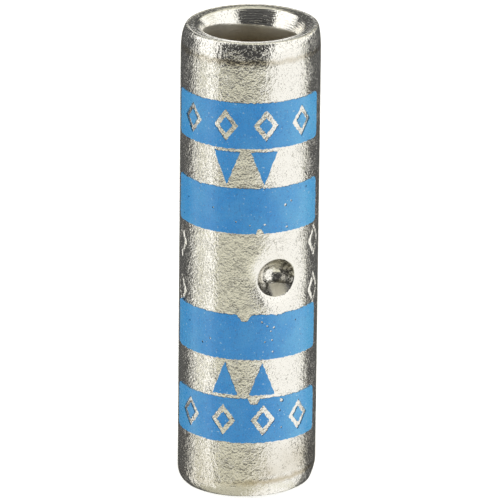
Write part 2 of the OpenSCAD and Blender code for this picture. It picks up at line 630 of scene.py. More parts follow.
@dataclass(frozen=True)
class DimpleShadeAndReflection:
    """Painted shade on the wall of the dimple, a painted pale reflection on its lower side and a painted dark
    shade arc over that.
    """

    painted_shade: Colour = (0.17, 0.16, 0.13, 1.0)
    painted_reflection: Colour = (0.97, 0.92, 0.76, 1.0)
    streak: float = 0.14 * MM
    streak_cut: Span = (0.40, 0.58)
    wall_start: Span = (0.62 * MM, 0.80 * MM)
    wall_end: Span = (1.02 * MM, 1.10 * MM)
    edge: Span = (1.0 * MM, 1.06 * MM)
    top_side: Span = (0.1 * MM, 0.6 * MM)
    right_side: Span = (0.64 * MM, 0.84 * MM)
    right_foot: Span = (-0.7 * MM, -0.4 * MM)
    left_side: Span = (-0.5 * MM, -0.8 * MM)
    reflection_start: Span = (-0.48 * MM, -0.60 * MM)
    reflection_place: float = 0.2 * MM
    reflection_width: Span = (0.12 * MM, 0.58 * MM)
    arc_drop: float = 0.47 * MM
    arc_bend: Span = (0.0, -0.45 * MM)
    arc_bend_drop: float = 0.2 * MM
    arc_sway: float = 0.05 * MM
    arc_line: Span = (0.03 * MM, 0.10 * MM)
    arc_width: Span = (0.50 * MM, 0.72 * MM)
    arc_share: float = 0.85
    top_share: float = 0.9
    left_share: float = 0.6
    shade_least: float = 0.38
    shade_gain: float = 0.60
    reflection_least: float = 0.7
    reflection_gain: float = 0.4

    def reflection_patch(self, bench: NodeBench, zones: Zones) -> Signal:
        """Finds the pale patch, a painted reflection on the lower wall.

        Args:
            bench: Bench of the material.
            zones: Where a point lies.

        Returns:
            1 in the smear and 0 beside it.
        """
        from_smear = abs(zones.beside - self.reflection_place)
        reflection_patch = bench.step(zones.above, *self.reflection_start) * bench.fall(from_smear, *self.reflection_width)
        return reflection_patch * bench.fall(zones.off_axis, *self.edge)

    def shaded_wall(self, bench: NodeBench, zones: Zones) -> Signal:
        """Finds the painted shade on the wall, above and at both sides.

        Args:
            bench: Bench of the material.
            zones: Where a point lies.

        Returns:
            Strength of the painted shade.
        """
        # Painted shade: the dimple's wall is darker on its upper side and, less, at both sides, where the
        # recess shades itself.
        wall = bench.step(zones.off_axis, *self.wall_start) * bench.fall(zones.off_axis, *self.wall_end)
        right = bench.step(zones.beside, *self.right_side) * bench.step(zones.above, *self.right_foot)
        left = bench.step(zones.beside, *self.left_side) * self.left_share
        top = bench.step(zones.above, *self.top_side) * self.top_share
        return wall * top.larger(right).larger(left)

    def lay(self, bench: NodeBench, zones: Zones, clouds: Clouds, reflection_patch: Signal, skin: Signal) -> Signal:
        """Lays the painted wall shade, the painted pale reflection and the painted shade arc over a colour.

        Args:
            bench: Bench of the material.
            zones: Where a point lies.
            clouds: The shared noises.
            reflection_patch: Place of the pale patch, a painted reflection.
            skin: Colour below.

        Returns:
            The colour with the painted shade and the painted reflection.
        """
        streaks = bench.spots(zones.here, self.streak, self.streak_cut, detail=1.0)
        shaded_wall = self.shaded_wall(bench, zones) * (streaks * self.shade_gain + self.shade_least)
        skin = bench.blend(shaded_wall, skin, self.painted_shade)
        # Painted reflection: a pale cream patch on the lower wall of the dimple.
        covered = reflection_patch * (clouds.patches * self.reflection_gain + self.reflection_least)
        skin = bench.blend(covered, skin, self.painted_reflection)
        # Painted shade: a dark arc along the crease between the bottom of the dimple and its lower wall.
        bend = bench.step(zones.beside, *self.arc_bend) * self.arc_bend_drop
        off_arc = abs(zones.above + self.arc_drop + bend + (streaks - 0.5) * self.arc_sway)
        arc = bench.fall(off_arc, *self.arc_line)
        arc = arc * bench.fall(abs(zones.beside - self.reflection_place), *self.arc_width)
        arc = arc * bench.fall(zones.off_axis, *self.edge) * self.arc_share
        return bench.blend(arc, skin, self.painted_shade)


@dataclass(frozen=True)
class TinPlate:
    """Bright tin plating with a tumbled grain, with painted crease shade and dirt near the ends, painted
    shade and a painted pale reflection in the dimple, and dull in the bore.
    """

    bright: Colour = (0.95, 0.93, 0.88, 1.0)
    worn: Colour = (0.42, 0.40, 0.35, 1.0)
    dull: Colour = (0.62, 0.53, 0.36, 1.0)
    dull_share: float = 0.85
    reflection_patch_cover: float = 0.9
    roughness: float = 0.09
    patch_roughness: float = 0.04
    worn_roughness: float = 0.15
    reflection_patch_roughness: float = 0.3
    mouth_roughness: float = 0.08
    bore_roughness: float = 0.3
    grain: TumbledGrain = TumbledGrain()
    crease_shade_and_dirt: CreaseShadeAndDirt = CreaseShadeAndDirt()
    # Painted shade on the wall of the dimple and along a crease in it, and a painted pale reflection on its
    # lower side.
    dirt: DimpleShadeAndReflection = DimpleShadeAndReflection()

    def make(self, plan: BarrelPlan) -> bpy.types.Material:
        """Builds the material.

        Args:
            plan: The barrel that it is for.

        Returns:
            The finished material.
        """
        material, bench = new_material("tin_plate")
        zones = Zones.measure(bench, plan)
        clouds = self.grain.clouds(bench, zones.here)
        worn = self.grain.wear(bench, zones, clouds)
        # Where the painted pale reflection lies in the dimple; there the tin is also less metallic and
        # rougher.
        reflection_patch = self.dirt.reflection_patch(bench, zones)
        skin = bench.blend(worn, self.bright, self.worn)
        # Painted crease shade near both ends, and dirt and soil near the lower end.
        skin = self.crease_shade_and_dirt.lay(bench, plan, zones, clouds, skin)
        # Painted shade and a painted pale reflection in the dimple.
        skin = self.dirt.lay(bench, zones, clouds, reflection_patch, skin)
        end = plan.length / 2
        deep = bench.fall(zones.from_middle, end - 3 * plan.lead_in, end - plan.lead_in)
        skin = bench.blend(zones.in_bore * deep * self.dull_share, skin, self.dull)
        rough_outside = clouds.patches * self.patch_roughness + self.roughness
        rough_outside = rough_outside + worn * self.worn_roughness + reflection_patch * self.reflection_patch_roughness
        rough_inside = zones.in_bore * self.bore_roughness + self.mouth_roughness
        bench.surface(
            {
                "Base Color": skin,
                "Metallic": 1.0 - reflection_patch * self.reflection_patch_cover,
                "Roughness": rough_outside * zones.outside + rough_inside * (1.0 - zones.outside),
                "Normal": bench.bump(self.grain.relief(bench, plan, zones, clouds)),
            }
        )
        return material


@dataclass(frozen=True)
class PrintingInk:
    """Thin satin ink that lies over the grain of the metal, painted paler towards the sides where the soft
    boxes light it.
    """

    blue: Colour = (0.006, 0.250, 0.670, 1.0)
    pale: Colour = (0.100, 0.410, 0.730, 1.0)
    deep: Colour = (0.005, 0.150, 0.450, 1.0)
    worn: Colour = (0.450, 0.660, 0.820, 1.0)
    grain: Layer = Layer(0.11 * MM, 6 * MICRON)
    cloud: float = 1.1 * MM
    cloud_cut: Span = (0.3, 0.75)
    grain_cut: Span = (0.52, 0.75)
    dot: float = 0.10 * MM
    dot_cut: Span = (0.76, 0.82)
    # Spans and shares of the painted side light.
    right_side: Span = (0.4 * MM, 3.2 * MM)
    left_side: Span = (-1.2 * MM, -3.4 * MM)
    left_light_share: float = 0.55
    side_light_share: float = 0.7
    cloud_share: float = 0.3
    deep_share: float = 0.7
    dot_share: float = 0.7
    roughness: float = 0.20
    grain_roughness: float = 0.16
    gloss: float = 0.8

    def make(self) -> bpy.types.Material:
        """Builds the material.

        Returns:
            The finished material.
        """
        material, bench = new_material("printing_ink")
        here = bench.node("TexCoord", output="Object")
        across = bench.node("SeparateXYZ", output="X", sockets={"Vector": here})
        clouded = bench.spots(here, self.cloud, self.cloud_cut, detail=3.0)
        speckle = bench.noise(here, self.grain.size)
        dots = bench.spots(here, self.dot, self.dot_cut)
        # Painted light: the ink is painted paler towards its right side and, less, its left side, where the
        # soft boxes light it.
        painted_side_light = bench.step(across, *self.right_side) + bench.step(across, *self.left_side) * self.left_light_share
        colour = bench.blend(clouded * self.cloud_share + painted_side_light * self.side_light_share, self.blue, self.pale)
        colour = bench.blend(bench.step(speckle, *self.grain_cut) * self.deep_share, colour, self.deep)
        colour = bench.blend(dots * self.dot_share, colour, self.worn)
        bench.surface(
            {
                "Base Color": colour,
                "Roughness": speckle * self.grain_roughness + self.roughness,
                "Specular IOR Level": self.gloss,
                "Normal": bench.bump(speckle * self.grain.depth),
            }
        )
        return material


@dataclass(frozen=True)
class PaleFloor:
    """White sweep under the part, lit a little from inside as a light table is."""

    white: Colour = (0.92, 0.92, 0.91, 1.0)
    shade: Colour = (0.88, 0.88, 0.87, 1.0)
    cloud: float = 60 * MM
    cloud_share: float = 0.3
    roughness: float = 0.8
    glow: float = 0.76

    def make(self) -> bpy.types.Material:
        """Builds the material.

        Returns:
            The finished material.
        """
        material, bench = new_material("pale_floor")
        here = bench.node("TexCoord", output="Object")
        clouded = bench.noise(here, self.cloud) * self.cloud_share
        colour = bench.blend(clouded, self.white, self.shade)
        bench.surface(
            {
                "Base Color": colour,
                "Roughness": self.roughness,
                "Emission Color": colour,
                "Emission Strength": self.glow,
            }
        )
        return material


class Hand:
    """Small edit-mode moves that the pieces share."""

    @staticmethod
    def free() -> None:
        """Leaves edit mode and deselects everything."""
        if bpy.context.object is not None and bpy.context.object.mode != "OBJECT":
            bpy.ops.object.mode_set(mode="OBJECT")
        bpy.ops.object.select_all(action="DESELECT")

    @staticmethod
    def pick(piece: bpy.types.Object) -> None:
        """Makes a piece the only selected object.

        Args:
            piece: The piece.
        """
        Hand.free()
        piece.select_set(True)
        bpy.context.view_layer.objects.active = piece

    @staticmethod
    def edit(
        piece: bpy.types.Object, test: Callable[[Vector], bool] | None = None, part: str = "VERT"
    ) -> None:
        """Opens a piece in edit mode with some of it selected.

        Args:
            piece: Object to edit.
            test: Says whether a place is selected, or None for all of the piece.
            part: VERT tests corners, EDGE the middles of edges and FACE the middles of faces.
        """
        Hand.pick(piece)
        bpy.ops.object.mode_set(mode="EDIT")
        bpy.ops.mesh.select_mode(type=part)
        if test is None:
            bpy.ops.mesh.select_all(action="SELECT")
            return
        bpy.ops.mesh.select_all(action="DESELECT")
        bpy.ops.object.mode_set(mode="OBJECT")
        mesh = piece.data
        if part == "VERT":
            for corner in mesh.vertices:
                corner.select = test(corner.co)
        elif part == "EDGE":
            for line in mesh.edges:
                ends = [mesh.vertices[i].co for i in line.vertices]
                line.select = test((ends[0] + ends[1]) / 2)
        else:
            for side in mesh.polygons:
                side.select = test(side.center)
        bpy.ops.object.mode_set(mode="EDIT")

    @staticmethod
    def trace(points: list[Vector], name: str) -> bpy.types.Object:
        """Draws a closed line by extruding one corner from point to point, and fills it.

        Args:
            points: Corners of the outline in order.
            name: Name of the new object.

        Returns:
            Flat face with that outline.
        """
        Hand.free()
        bpy.ops.mesh.primitive_plane_add(size=MM, location=points[0])
        piece = bpy.context.object
        piece.name = piece.data.name = name
        bpy.ops.object.transform_apply(location=True)
        Hand.edit(piece)
        bpy.ops.mesh.merge(type="CENTER")
        for before, after in zip(points, points[1:]):
            bpy.ops.mesh.extrude_vertices_move(TRANSFORM_OT_translate={"value": after - before})
        bpy.ops.mesh.select_all(action="SELECT")
        bpy.ops.mesh.edge_face_add()
        bpy.ops.object.mode_set(mode="OBJECT")
        return piece

    @staticmethod
    def finish_modifiers(piece: bpy.types.Object) -> None:
        """Applies all modifiers of a piece in their order.

        Args:
            piece: The piece.
        """
        Hand.pick(piece)
        for name in [modifier.name for modifier in piece.modifiers]:
            bpy.ops.object.modifier_apply(modifier=name)


@dataclass
class WireStop:
    """Dimple punched into the barrel at mid-length, and the ball of metal that it drives into the bore."""

    side: float = math.radians(24.7)
    height: float = 12.37 * MM
    tip: float = 0.76 * MM
    depth: float = 1.11 * MM
    mouth: float = 1.06 * MM
    lip: float = 0.10 * MM
    sink_w: float = 0.90 * MM
    sink: float = 0.085 * MM
    ball: float = 1.85 * MM
    ball_depth: float = 0.35 * MM
    reach: float = 2.05 * MM
    chatter: float = 3 * MICRON
    chatter_pitch: float = 0.19 * MM
    bowl_steps: int = 60
    lip_steps: int = 25
    sink_steps: int = 25

    def axes(self) -> tuple[Vector, Vector]:
        """Directions out of the barrel and round it at the dimple."""
        out = Vector((math.sin(self.side), -math.cos(self.side), 0.0))
        return out, Vector((math.cos(self.side), math.sin(self.side), 0.0))

    def near(self, place: Vector, margin: float) -> bool:
        """Says whether a place on the outside lies within the dimple's reach and a margin.

        Args:
            place: The place.
            margin: How far beyond the reach still counts.

        Returns:
            Whether it is near.
        """
        out, along = self.axes()
        across = math.hypot(place.dot(along), place.z - self.height)
        return place.dot(out) > 0 and across < self.reach + margin

    def profile(self) -> np.ndarray:
        """Follows the dimple's section from its deepest point outwards.

        Returns:
            Rows of the way along the section, the distance from the axis and the depth below the outside.
        """
        edge = self.mouth + self.sink_w
        sunk = np.linspace(0.0, 1.0, self.sink_steps)
        slope = math.atan(2 * self.sink / self.sink_w)
        centre = self.depth - self.tip
        gap = math.hypot(self.mouth, centre - self.sink)
        steep = math.asin(self.tip / gap) + math.atan2(centre - self.sink, self.mouth)
        turn = np.linspace(0.0, steep, self.bowl_steps)
        roll = np.linspace(steep, slope, self.lip_steps)
        far = self.tip * np.sin(turn)
        chatter = self.chatter * np.cos(math.tau * far / self.chatter_pitch) * np.sin(math.pi * turn / steep)
        bowl = np.stack([far, centre + self.tip * np.cos(turn) + chatter], 1)
        cut = self.lip * math.tan((steep - slope) / 2)
        start = np.array([self.mouth - cut * math.cos(steep), self.sink + cut * math.sin(steep)])
        middle = start + self.lip * np.array([math.sin(steep), math.cos(steep)])
        lip = middle - self.lip * np.stack([np.sin(roll), np.cos(roll)], 1)
        drawn = np.stack([self.mouth + self.sink_w * sunk, self.sink * (1 - sunk) ** 2], 1)
        drawn = drawn[drawn[:, 0] > lip[-1, 0] + MICRON]
        line = np.concatenate([bowl, lip, drawn, [[max(edge, self.reach), 0.0]]])
        steps = np.hypot(*np.diff(line, axis=0).T)
        return np.column_stack([np.concatenate([[0.0], np.cumsum(steps)]), line])

    def press(self, places: np.ndarray, radius: float, bore: float) -> np.ndarray:
        """Presses the dimple into the outside and the ball into the bore.

        Args:
            places: Corners of the barrel's mesh, one row each.
            radius: Radius of the outside.
            bore: Radius of the bore.

        Returns:
            The moved corners.
        """
        out, along = (np.array(axis) for axis in self.axes())
        x, y, z = places @ out, places @ along, places[:, 2] - self.height
        across = np.hypot(y, z)
        around = np.hypot(x, y)
        wall = (radius + bore) / 2

        outer = (x > 0) & (around > wall) & (across < self.reach)
        travel, far, depth = self.profile().T
        share = across * (travel[-1] / self.reach)
        shrink = np.interp(share, travel, far) / np.maximum(across, TINY)
        y_new, z_new = y * shrink, z * shrink
        x_new = np.sqrt(np.maximum(radius**2 - y_new**2, 0.0)) - np.interp(share, travel, depth)

        inner = (x > 0) & (around < wall) & (across < self.ball)
        face = radius - self.ball_depth - np.sqrt(np.maximum(self.ball**2 - across**2, 0.0))

        x = np.where(outer, x_new, np.where(inner, np.minimum(x, face), x))
        y = np.where(outer, y_new, y)
        z = np.where(outer, z_new, z)
        moved = np.outer(x, out) + np.outer(y, along)
        moved[:, 2] = z + self.height
        return moved


@dataclass
class Stamp:
    """Open diamond struck into the flank of the barrel."""

    side: float
    height: float
    wide: float = 1.05 * MM
    tall: float = 1.50 * MM
    line: float = 0.20 * MM
    depth: float = 0.07 * MM
    groove_share: float = 0.45
    groove_reach: float = 1.5

    def place(self, places: np.ndarray, radius: float) -> tuple[np.ndarray, np.ndarray]:
        """Distances of places from the stamp's middle, round the barrel and up it."""
        angle = np.arctan2(places[:, 0], -places[:, 1]) - self.side
        return angle * radius, places[:, 2] - self.height

    def near(self, spot: Vector, radius: float) -> bool:
        """Says whether a place lies under the stamp or just beside it."""
        round_it, up_it = self.place(np.array([spot]), radius)
        return abs(round_it[0]) < 0.5 * self.wide + self.line and abs(up_it[0]) < 0.5 * self.tall + self.line

    def press(self, places: np.ndarray, radius: float, wall: float) -> np.ndarray:
        """Strikes the diamond's line into the outside.

        Args:
            places: Corners of the barrel's mesh, one row each.
            radius: Radius of the outside.
            wall: Radius of the middle of the wall.

        Returns:
            The moved corners.
        """
        round_it, up_it = self.place(places, radius)
        off = (np.abs(round_it) / (self.wide / 2) + np.abs(up_it) / (self.tall / 2) - 1) / math.hypot(
            2 / self.wide, 2 / self.tall
        )
        around = np.hypot(places[:, 0], places[:, 1])
        groove = self.depth * np.exp(-((off / (self.groove_share * self.line)) ** 2))
        groove = np.where((around > wall) & (np.abs(off) < self.groove_reach * self.line), groove, 0.0)
        moved = places.copy()
        moved[:, :2] *= (1 - groove / around)[:, None]
        return moved


@dataclass
class Barrel:
    """Seamless tube with rolled ends, chamfered mouths and the wire stop."""

    radius: float
    length: float
    bore: float
    lead_in_w: float = 0.40 * MM
    lead_in_depth: float = 0.75 * MM
    roll_w: float = 0.34 * MM
    roll_len: float = 1.45 * MM
    rim_drop: float = 0.045 * MM
    rim_dish: float = 0.02 * MM
    edge: float = 0.05 * MM
    edge_steps: int = 3
    turns: int = 224
    rings: int = 140
    bore_rings: int = 24
    roll_steps: int = 14
    waviness: float = 9 * MICRON
    wave_size: float = 1.3 * MM
    wave_layers: int = 2
    smooth_angle: float = math.radians(50)
    punch_margin: float = 0.2 * MM
    punch_cuts: int = 5
    stamp_cuts: int = 2
    low_roll_len: float = 0.95 * MM
    low_roll_w: float = 0.25 * MM
    low_roll_steps: int = 9
    roll_ease: float = 0.4
    roll_sway: float = 0.50 * MM
    top_skew: float = math.radians(0.45)
    low_skew: float = math.radians(1.2)
    skew_run: float = 3.0 * MM
    ream: tuple[float, float, float] = (0.56 * MM, -0.32 * MM, 0.20 * MM)
    ream_spread: tuple[float, float] = (0.95, 0.12)
    ream_reach: float = 1.2
    stop: WireStop = field(default_factory=WireStop)
    stamps: tuple[Stamp, ...] = (
        Stamp(math.radians(67), 13.9 * MM),
        Stamp(math.radians(67), 11.2 * MM),
        Stamp(math.radians(-71), 13.7 * MM),
        Stamp(math.radians(-71), 11.0 * MM),
    )

    def upper_roll(self) -> list[Vector]:
        """Follows the upper rolled edge, as if it were at the floor, on a quarter of an ellipse.

        Returns:
            Points from the end face to the outside.
        """
        turns = [math.pi / 2 * (1 - i / self.roll_steps) for i in range(self.roll_steps + 1)]
        middle = self.radius - self.roll_w
        return [
            Vector((middle + self.roll_w * math.cos(turn), 0.0, self.roll_len * (1 - math.sin(turn))))
            for turn in turns
        ]

    def lower_roll(self) -> list[Vector]:
        """Follows the lower rolled edge, on an arc that meets the end face at an angle.

        Returns:
            Points from the end face to the outside.
        """
        radius = (self.low_roll_len**2 + self.low_roll_w**2) / (2 * self.low_roll_w)
        sweep = math.asin(self.low_roll_len / radius)
        points = []
        for i in range(self.low_roll_steps + 1):
            angle = sweep * (1 - i / self.low_roll_steps)
            out = self.radius - radius * (1 - math.cos(angle))
            points.append(Vector((out, 0.0, self.low_roll_len - radius * math.sin(angle))))
        return points

    def mouth(self) -> list[Vector]:
        """Points from the lower end's bore to its end face."""
        return [
            Vector((self.bore, 0.0, self.lead_in_depth)),
            Vector((self.bore + self.lead_in_w, 0.0, self.rim_drop)),
        ]

    def section(self) -> list[Vector]:
        """Draws the outline of the wall's section.

        Returns:
            Its corners, once round.
        """
        lower = self.mouth() + self.lower_roll()
        upper = self.mouth() + self.upper_roll()
        return lower + [Vector((p.x, 0.0, self.length - p.z)) for p in reversed(upper)]

    def is_corner(self, spot: Vector) -> bool:
        """Says whether a place on the section is one of its sharp corners."""
        low = Vector((spot.x, 0.0, min(spot.z, self.length - spot.z)))
        return any((low - corner).length < MICRON for corner in [*self.mouth(), self.lower_roll()[0]])

    def build(self) -> bpy.types.Object:
        """Models the tube.

        Returns:
            The finished barrel.
        """
        piece = Hand.trace(self.section(), "barrel_tube")
        Hand.edit(piece, self.is_corner)
        bpy.ops.mesh.bevel(affect="VERTICES", offset=self.edge, segments=self.edge_steps, profile=0.5)
        bpy.ops.mesh.select_all(action="SELECT")
        bpy.ops.mesh.delete(type="ONLY_FACE")
        middle = self.length / 2
        Hand.edit(piece, lambda p: abs(p.z - middle) < MM and p.x > self.bore + MM / 2, "EDGE")
        bpy.ops.mesh.subdivide(number_cuts=self.rings)
        Hand.edit(piece, lambda p: abs(p.z - middle) < MM and p.x < self.bore + MM / 2, "EDGE")
        bpy.ops.mesh.subdivide(number_cuts=self.bore_rings)
        Hand.edit(piece)
        bpy.ops.mesh.spin(
            steps=self.turns, angle=math.tau, center=(0, 0, 0), axis=(0, 0, 1), use_auto_merge=True
        )
        bpy.ops.mesh.select_all(action="SELECT")
        bpy.ops.mesh.remove_doubles(threshold=MICRON)
        bpy.ops.mesh.normals_make_consistent(inside=False)
        self.punch(piece)
        self.roughen(piece)
        Hand.pick(piece)
        bpy.ops.object.shade_smooth_by_angle(angle=self.smooth_angle)
        return piece

    def punch(self, piece: bpy.types.Object) -> None:
        """Gives the mesh finer faces under the punches, presses them in and makes the ends uneven.

        Args:
            piece: The tube.
        """
        wall = (self.radius + self.bore) / 2
        Hand.edit(piece, lambda p: p.xy.length > wall and self.stop.near(p, self.punch_margin), "FACE")
        bpy.ops.mesh.subdivide(number_cuts=self.punch_cuts)
        for stamp in self.stamps:
            Hand.edit(piece, lambda p: p.xy.length > wall and stamp.near(p, self.radius), "FACE")
            bpy.ops.mesh.subdivide(number_cuts=self.stamp_cuts)
        bpy.ops.object.mode_set(mode="OBJECT")
        places = np.empty(3 * len(piece.data.vertices))
        piece.data.vertices.foreach_get("co", places)
        places = self.stop.press(places.reshape(-1, 3), self.radius, self.bore)
        for stamp in self.stamps:
            places = stamp.press(places, self.radius, wall)
        piece.data.vertices.foreach_set("co", self.uneven(places, wall).ravel())
        piece.data.update()

    def uneven(self, places: np.ndarray, wall: float) -> np.ndarray:
        """Sets the ends a little askew, the lower roll with them, and the upper lead-in off its axis.

        Args:
            places: Corners of the mesh, one row each.
            wall: Radius of the middle of the wall.

        Returns:
            The moved corners.
        """
        x, y, z = places.T.copy()
        around = np.hypot(x, y)
        safe = np.maximum(around, TINY)
        front, right = -y / safe, x / safe
        top = self.length - self.rim_drop
        depth = self.ream[0] + self.ream[1] * front + self.ream[2] * right - self.rim_drop
        share = depth / (self.lead_in_depth - self.rim_drop)
        widen = self.ream_spread[0] + self.ream_spread[1] * right
        mouth, rim = self.bore + self.lead_in_w, self.radius - self.roll_w
        at_top = z > self.length - max(self.ream_reach * self.lead_in_depth, self.roll_len)
        reamed = at_top & (around < mouth)
        z = np.where(reamed, top - (top - z) * share, z)
        new_mouth = self.bore + self.lead_in_w * widen
        chamfer = self.bore + (around - self.bore) * widen
        eased = 1 - self.roll_ease * np.maximum(right, 0)
        rolled = self.radius - (self.radius - around) * eased
        new_rim = self.radius - self.roll_w * eased
        inwards = np.clip((rim - around) / (rim - mouth), 0, 1)
        face = new_rim - inwards * (new_rim - new_mouth)
        ends = np.where(reamed, chamfer, np.where(around < rim, face, rolled))
        spread = np.where(at_top & (around > self.bore + MICRON), ends, around) / safe
        z = np.where(at_top, z - self.rim_dish * front**2 * inwards, z)
        x, y = x * spread, y * spread
        low = np.clip(1 - z / self.skew_run, 0, 1)
        z = np.where(around > wall, z + self.roll_sway * right * (z / self.low_roll_len) * low**2, z)
        high = np.clip((z - self.length) / self.skew_run + 1, 0, 1)
        low = np.clip(1 - z / self.skew_run, 0, 1)
        z = z - math.tan(self.top_skew) * (self.radius - x) * high**2
        z = z + math.tan(self.low_skew) * (self.radius + x) * low**2
        return np.column_stack([x, y, z])

    def roughen(self, piece: bpy.types.Object) -> None:
        """Makes the drawn tube a little uneven, inwards only.

        Args:
            piece: The tube.
        """
        cloud = bpy.data.textures.new("tube_waviness", "CLOUDS")
        cloud.noise_scale = self.wave_size
        cloud.noise_depth = self.wave_layers
        wave = piece.modifiers.new("waviness", "DISPLACE")
        wave.texture = cloud
        wave.texture_coords = "LOCAL"
        wave.mid_level = 1.0
        wave.strength = self.waviness
        Hand.finish_modifiers(piece)

    def dress(self, piece: bpy.types.Object) -> None:
        """Gives the tube its tin.

        Args:
            piece: The tube.
        """
        out = self.stop.axes()[0]
        plan = BarrelPlan(
            bore=self.bore,
            mouth=self.bore + self.lead_in_w,
            length=self.length,
            lead_in=self.lead_in_depth,
            punched=out * self.radius + Vector((0.0, 0.0, self.stop.height)),
            inwards=out * -1.0,
        )
        piece.data.materials.append(TinPlate().make(plan))


@dataclass
class Wrap:
    """Cylinder that the print lies on."""

    radius: float
    thickness: float
    side: float = math.radians(-3.3)
    strip: float = 0.10 * MM
    clearance: float = 0.003 * MM
    smooth_angle: float = math.radians(40)

    def lay(self, piece: bpy.types.Object, width: float, height: float) -> None:
        """Wraps a flat print round the barrel and gives it its thickness.

        Args:
            piece: Flat print, with x round the barrel and y up it, about its own middle.
            width: Its width.
            height: Height of its middle above the floor.
        """
        Hand.edit(piece)
        count = math.ceil(width / self.strip)
        for i in range(1, count):
            bpy.ops.mesh.select_all(action="SELECT")
            bpy.ops.mesh.bisect(plane_co=((i / count - 0.5) * width, 0, 0), plane_no=(1, 0, 0))
        bpy.ops.object.mode_set(mode="OBJECT")
        foot = self.radius + self.clearance
        for corner in piece.data.vertices:
            angle = self.side + corner.co.x / self.radius
            corner.co = (foot * math.sin(angle), -foot * math.cos(angle), height + corner.co.y)
        piece.data.update()
        face = piece.data.polygons[0]
        Hand.edit(piece)
        if face.normal.dot(Vector((face.center.x, face.center.y, 0.0))) < 0:
            bpy.ops.mesh.flip_normals()
        film = piece.modifiers.new("film", "SOLIDIFY")
        film.thickness = self.thickness - 2 * self.clearance
        film.offset = 1.0
        Hand.finish_modifiers(piece)
        bpy.ops.object.shade_smooth_by_angle(angle=self.smooth_angle)


@dataclass(frozen=True)
class Nick:
    """Place on a band's long edge where ink is missing."""

    edge: Edge
    place: float
    width: float
    depth: float


@dataclass(frozen=True)
class Fleck:
    """Small hole in the ink, with its place from the middle of the band."""

    x: float
    y: float
    size: float


@dataclass
class InkDrawing:
    """Flat drawing of outlines that become one print."""

    name: str
    seed: int
    ragged: float = 0.028 * MM
    pitch: float = 0.08 * MM
    corner_steps: int = 4
    nick_shake: float = 0.025 * MM
    nick_catch: float = 3.0
    nick_spans: Span = (1.0, 0.6)
    fleck_shake: float = 0.12
    loops: list[bpy.types.Object] = field(default_factory=list)

    def keep(self, loop: bpy.types.Object) -> bpy.types.Object:
        """Adds a loop to the drawing."""
        self.loops.append(loop)
        return loop

    @staticmethod
    def shake(amount: float, seed: int) -> None:
        """Shakes the selected corners within the plane and leaves edit mode.

        Args:
            amount: How far a corner may move.
            seed: Random seed.
        """
        bpy.ops.transform.vertex_random(offset=amount, uniform=1.0, seed=seed)
        bpy.ops.transform.resize(value=(1, 1, 0), center_override=(0, 0, 0))
        bpy.ops.object.mode_set(mode="OBJECT")

    def roughen(self, loop: bpy.types.Object, amount: float) -> None:
        """Makes a loop ragged.

        Args:
            loop: The loop.
            amount: How far a corner may move.
        """
        self.seed += 1
        Hand.edit(loop)
        self.shake(amount, self.seed)

    def band(self, width: float, height: float, corner: float) -> bpy.types.Object:
        """Draws the outline of a band with round corners.

        Args:
            width: Width of the band.
            height: Height of the band.
            corner: Radius of its corners.

        Returns:
            The outline.
        """
        Hand.free()
        bpy.ops.mesh.primitive_plane_add(size=1.0)
        loop = self.keep(bpy.context.object)
        Hand.edit(loop)
        bpy.ops.transform.resize(value=(width, height, 1), center_override=(0, 0, 0))
        bpy.ops.mesh.bevel(affect="VERTICES", offset=corner, segments=self.corner_steps, profile=0.5)
        bpy.ops.mesh.select_all(action="SELECT")
        bpy.ops.mesh.delete(type="ONLY_FACE")
        for length, test in (
            (width, lambda p: abs(p.x) < corner / 2),
            (height, lambda p: abs(p.y) < corner / 2),
        ):
            Hand.edit(loop, test, "EDGE")
            bpy.ops.mesh.subdivide(number_cuts=round((length - 2 * corner) / self.pitch) - 1)
        self.roughen(loop, self.ragged)
        return loop

    def ring(self, mark: Mark, width: float, height: float, place: tuple[float, float]) -> bpy.types.Object:
        """Draws a small closed shape.

        Args:
            mark: Its kind. The sides of all but a fleck are cut into short edges.
            width: Its width.
            height: Its height, negative to turn it upside down.
            place: Its middle.

        Returns:
            The outline.
        """
        Hand.free()
        bpy.ops.mesh.primitive_circle_add(vertices=mark.value, radius=1.0)
        loop = self.keep(bpy.context.object)
        spans = [[corner.co[i] for corner in loop.data.vertices] for i in (0, 1)]
        middles = [(max(span) + min(span)) / 2 for span in spans]
        sizes = [max(span) - min(span) for span in spans]
        Hand.edit(loop)
        bpy.ops.transform.translate(value=(-middles[0], -middles[1], 0))
        bpy.ops.transform.resize(value=(width / sizes[0], height / sizes[1], 1), center_override=(0, 0, 0))
        shake = self.fleck_shake * min(width, abs(height))
        if mark is not Mark.FLECK:
            shake = self.ragged
            side = math.hypot(width / 2, height / 2)
            bpy.ops.mesh.subdivide(number_cuts=max(1, round(side / self.pitch)))
        bpy.ops.transform.translate(value=(*place, 0))
        self.roughen(loop, shake)
        return loop

    def nick(self, loop: bpy.types.Object, nick: Nick, height: float) -> None:
        """Pushes a stretch of a band's long edge inwards, where the ink is missing.

        Args:
            loop: Outline of the band.
            nick: The nick.
            height: Height of the band.
        """
        way = nick.edge.value
        push = nick.depth / len(self.nick_spans)
        inner_edge = height / 2 - self.nick_catch * self.ragged - nick.depth
        for span in self.nick_spans:
            reach = span * nick.width / 2
            Hand.edit(loop, lambda p: p.y * way > inner_edge and abs(p.x - nick.place) < reach)
            bpy.ops.transform.translate(value=(0, -way * push, 0))
        self.shake(self.nick_shake, self.seed)

    def fill(self) -> bpy.types.Object:
        """Joins the loops and fills what lies between them.

        Returns:
            The flat print.
        """
        Hand.free()
        for loop in self.loops:
            loop.select_set(True)
        bpy.context.view_layer.objects.active = self.loops[0]
        if len(self.loops) > 1:
            bpy.ops.object.join()
        piece = bpy.context.object
        piece.name = piece.data.name = self.name
        Hand.edit(piece)
        bpy.ops.mesh.fill()
        bpy.ops.object.mode_set(mode="OBJECT")
        return piece


